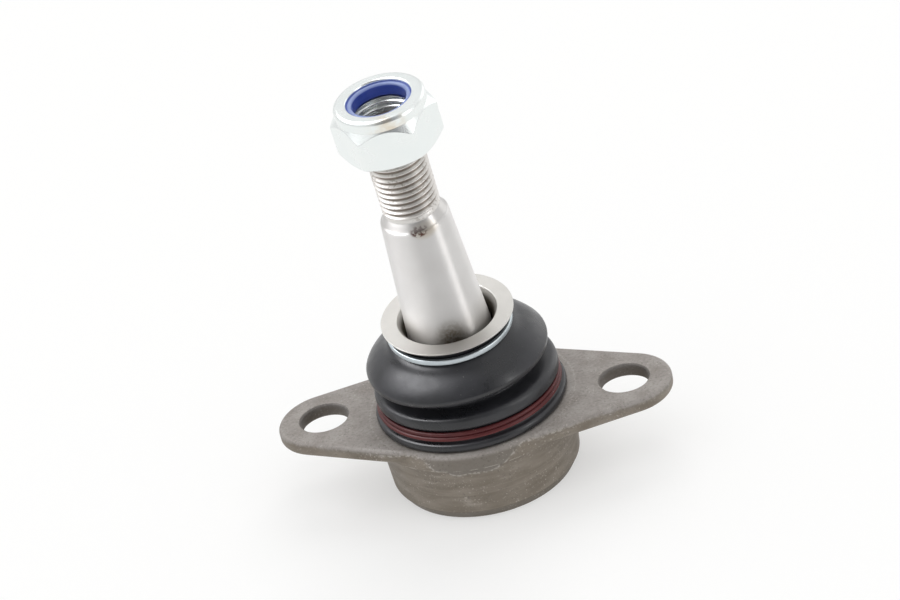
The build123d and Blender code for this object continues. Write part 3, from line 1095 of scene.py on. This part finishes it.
# %% Nut outline
nut_at = 81.0
nut_turned = radians(18.7)
half_flats = 11.0
corner_round = 1.4
flat_half = (half_flats - corner_round) * tan(radians(30))

nut_round = []
for side in range(6):
    middle = nut_turned + radians(30 + 60 * side)
    section = [(half_flats, flat_half * (step / 4 - 1)) for step in range(9)]
    for step in range(1, 6):
        swing = radians(10 * step)
        out = half_flats - corner_round * (1 - cos(swing))
        section.append((out, flat_half + corner_round * sin(swing)))
    for out, across in section:
        nut_round.append((middle + atan2(across, out), hypot(out, across)))
print("points round the nut:", len(nut_round))

# %% Nut body
low_flat_r = 10.25
high_flat_r = 9.9
low_fall = tan(radians(30))
high_fall = tan(radians(50))
hex_top = 11.3
crown_top = 13.0
crown_r = 10.75
crown_round = 1.15
lip_round = 0.45
bore_r = 8.0
mouth_r = 7.65
pocket_r = 8.8
apart = 0.03
nut_place = stud_frame @ Matrix.Translation((0, 0, nut_at * mm))
cone_foot = hex_top - (crown_r - high_flat_r) * high_fall

levels = [(bore_r, 0.25), (8.25, apart), (low_flat_r, 0.0), "low chamfer", "high chamfer"]
levels += [(crown_r, cone_foot), (crown_r - 0.05, cone_foot + 0.4)]
for step in range(7):
    swing = radians(15 * step)
    r = crown_r - crown_round * (1 - cos(swing))
    levels.append((r, crown_top - crown_round * (1 - sin(swing))))
for step in range(5):
    swing = radians(22.5 * step)
    r = mouth_r + lip_round * (1 - sin(swing))
    levels.append((r, crown_top - apart - lip_round * (1 - cos(swing))))
levels += [(mouth_r, 12.3), (pocket_r, 12.2), (pocket_r, 9.2), (bore_r, 9.1)]

nut_mesh = bmesh.new()
nut_chain = []
for level in levels:
    made = bmesh.ops.create_circle(
        nut_mesh, cap_ends=False, segments=len(nut_round), radius=1.0
    )
    for vert, (angle, hex_r) in zip(made["verts"], nut_round):
        if level == "low chamfer":
            r, z = hex_r, (hex_r - low_flat_r) * low_fall
        elif level == "high chamfer":
            r, z = hex_r, hex_top - (hex_r - high_flat_r) * high_fall
        else:
            r, z = level
        vert.co = (r * cos(angle), r * sin(angle), z)
    join_ring(nut_mesh, made["verts"], nut_chain)
close_chain(nut_mesh, nut_chain)

# %% [markdown]
# Only the outside corners of the hexagon are rounded by a Bevel modifier. Its limit is
# the bevel weight, which is an attribute of the edges, so the code picks them by their
# place and angle and gives them the weight 1.

# %% Nut edges
softness = nut_mesh.edges.layers.float.new("bevel_weight_edge")
for edge in nut_mesh.edges:
    outside = all(vert.co.xy.length > crown_r + 0.1 for vert in edge.verts)
    if outside and edge.is_convex and edge.calc_face_angle() > radians(22):
        edge[softness] = 1.0
set_down(nut_mesh, nut_place)
lock_nut = add_piece("lock_nut", nut_mesh, "nut", "nut_body", zinc_nut, 25, weighted=False)
soft_edges = lock_nut.modifiers.new("soft_edges", "BEVEL")
soft_edges.width = 0.16 * mm
soft_edges.segments = 3
soft_edges.limit_method = "WEIGHT"
soft_edges.harden_normals = True
normals = lock_nut.modifiers.new("flat_faces_stay_flat", "WEIGHTED_NORMAL")
normals.keep_sharp = True

# %% [markdown]
# The nut's own thread is cut with the same cutter, a little wider than the stud's, so
# that the two stay in mesh. Its ends are pulled outwards into the nut's wall and
# bridged, which closes it into a threaded sleeve.

# %% Nut thread
clearance = 0.07
bush_low = nut_at + 0.37
bush_high = nut_at + 9.12
entry_at = nut_at + 0.3
entry_r = 7.2
sleeve_r = 8.1
bush = thread_wall(thread_r + clearance, bush_low, bush_high)
for vert in bush.verts:
    chamfer = entry_r - (vert.co.z - entry_at)
    set_radius(vert, max(vert.co.xy.length, chamfer))
rims = [edge for edge in bush.edges if len(edge.link_faces) == 1]
moved = bmesh.ops.extrude_edge_only(bush, edges=rims)
outer_rim = [item for item in moved["geom"] if isinstance(item, bmesh.types.BMVert)]
for vert in outer_rim:
    set_radius(vert, sleeve_r)
open_rims = [edge for edge in bush.edges if len(edge.link_faces) == 1]
bmesh.ops.bridge_loops(bush, edges=open_rims)
set_down(bush, stud_frame)
nut_thread = add_piece("nut_thread", bush, "nut", "nut_body", zinc_nut, 50)

# %% [markdown]
# ## Locking ring
#
# The blue ring is moulded a little smaller than the thread, so the stud has to press its
# way through. Its rims are well rounded, and the upper one has a painted highlight.

# %% Nylon ring
nylon = [(6.35, 9.3, 0.3), (8.75, 9.3, 0.1), (8.75, 12.25, 0.1)]
nylon += [(7.3, 12.25, 0.2), (6.9, 12.45, 0.2), (6.35, 12.2, 0.4)]
locking_ring = add_piece(
    "locking_ring", lathe(nylon, nut_place), "nut_ring", "nut_insert", blue_nylon
)

# %% [markdown]
# ## Floor and light
#
# The studio is a white table that fills the picture. On an overexposed white table a
# shadow never gets dark, so half of the floor's colour is its own light and only the
# other half depends on the lamps. From below, the camera looks through it.

# %% Floor
floor_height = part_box("housing")[0].z
floor_r = 3.0
own_light = 0.5
floor_mesh = bmesh.new()
level = Matrix.Translation((0, 0, floor_height))
bmesh.ops.create_circle(floor_mesh, cap_ends=True, segments=96, radius=floor_r, matrix=level)
floor_data = bpy.data.meshes.new("studio_floor")
floor_mesh.to_mesh(floor_data)
floor_mesh.free()
floor = new_object("studio_floor", floor_data)
floor_paint = bpy.data.materials.new("floor_paint")
floor_paint.use_nodes = True
tree = floor_paint.node_tree
tree.nodes.clear()
paper = add(tree, "BsdfDiffuse", {"Color": (0.97, 0.97, 0.965)})
glow = add(tree, "Emission", {"Color": (0.985, 0.985, 0.98), "Strength": 1.0})
both = add(tree, "MixShader", {0: own_light, 1: paper.outputs[0], 2: glow.outputs[0]})
from_below = times(
    add(tree, "NewGeometry").outputs["Backfacing"],
    add(tree, "LightPath").outputs["Is Camera Ray"],
)
glass = add(tree, "BsdfTransparent")
inputs = {0: from_below, 1: both.outputs[0], 2: glass.outputs[0]}
seen_through = add(tree, "MixShader", inputs)
add(tree, "OutputMaterial", {"Surface": seen_through.outputs[0]})
floor_data.materials.append(floor_paint)
print("floor at", round(floor_height / mm, 2), "mm, facing", floor_data.polygons[0].normal)

# %% [markdown]
# Metal and rubber are drawn by what they reflect, so the world looks different to
# reflections than it does as plain light. To reflections it is a studio: a large bright
# panel high on the left, a thin upright strip on the right, a dim panel behind on the
# right, and a wide darker part in front, where the camera stands. A panel is the
# dot product of the direction with the panel's own direction, stretched so that its
# edge is soft. Light Path then picks this room for glossy rays, a white room for the
# camera, and an even light for everything else.

# %% World
world = bpy.data.worlds.new("studio_world")
bpy.context.scene.world = world
world.use_nodes = True
tree = world.node_tree
tree.nodes.clear()
ray = add(tree, "LightPath")
direction = add(tree, "TexCoord").outputs["Generated"]


def heading(azimuth, elevation):
    """A direction from the part, with azimuth 0 towards the viewer's side."""
    a = radians(azimuth)
    e = radians(elevation)
    return Vector((sin(a) * cos(e), -cos(a) * cos(e), sin(e)))


def panel(azimuth, elevation, outer, inner):
    """A round panel with a soft edge between two angles from its middle."""
    likeness = dot(direction, heading(azimuth, elevation))
    return ramp(likeness, cos(radians(outer)), cos(radians(inner)))


def strip(azimuth, outer, inner):
    """An upright panel that is as narrow as two angles say, and as high as the room."""
    level = vectors("MULTIPLY", direction, (1, 1, 0))[0]
    unit = vectors("NORMALIZE", level)[0]
    likeness = dot(unit, heading(azimuth, 0))
    return ramp(likeness, cos(radians(outer)), cos(radians(inner)))


up_part = axes(direction)[2]
low_part = ramp(up_part, 0.75, 0.45)
walls = mixed(ramp(up_part, 0.3, 0.65), (0.84, 0.84, 0.84), (0.95, 0.95, 0.95))
walls = mixed(strip(16, 46, 12), walls, (0.3, 0.3, 0.31))
walls = mixed(panel(-94, 57, 30, 10), walls, (7.8, 7.8, 8.0))
walls = mixed(times(strip(67, 9, 4), low_part), walls, (3.8, 3.8, 3.8))
walls = mixed(panel(140, 12, 26, 10), walls, (1.5, 1.5, 1.5))
reflected = add(tree, "Background", {"Color": walls, "Strength": 1.0})
seen = add(tree, "Background", {"Color": (0.98, 0.98, 0.975), "Strength": 1.0})
lighting = add(tree, "Background", {"Color": (1, 1, 1), "Strength": 0.62})
surface = lighting.outputs[0]
for kind, room in (
    ("Is Glossy Ray", reflected),
    ("Is Transmission Ray", seen),
    ("Is Camera Ray", seen),
):
    inputs = {0: ray.outputs[kind], 1: surface, 2: room.outputs[0]}
    surface = add(tree, "MixShader", inputs).outputs[0]
add(tree, "OutputWorld", {"Surface": surface})
print("world ready")


# %% [markdown]
# The lamps are suns with a wide disc. A sun lights the whole table evenly, and the width
# of its disc decides how soft the shadow's edge is. Glossy surfaces don't show them,
# because the room of panels above is what metal reflects.

# %% Lamps
def wide_sun(name, azimuth, elevation, disc, strength):
    """A sun lamp with a wide disc, shining from a heading onto the part."""
    data = bpy.data.lights.new(name, "SUN")
    data.angle = radians(disc)
    data.energy = strength
    lamp = new_object(name, data)
    lamp.matrix_world = heading(azimuth, elevation).to_track_quat("Z", "Y").to_matrix().to_4x4()
    lamp.visible_glossy = False


wide_sun("right_window", 48, 58, 60, 0.3)
wide_sun("ceiling", -60, 80, 70, 0.45)
wide_sun("back_panel", 168, 48, 45, 0.85)
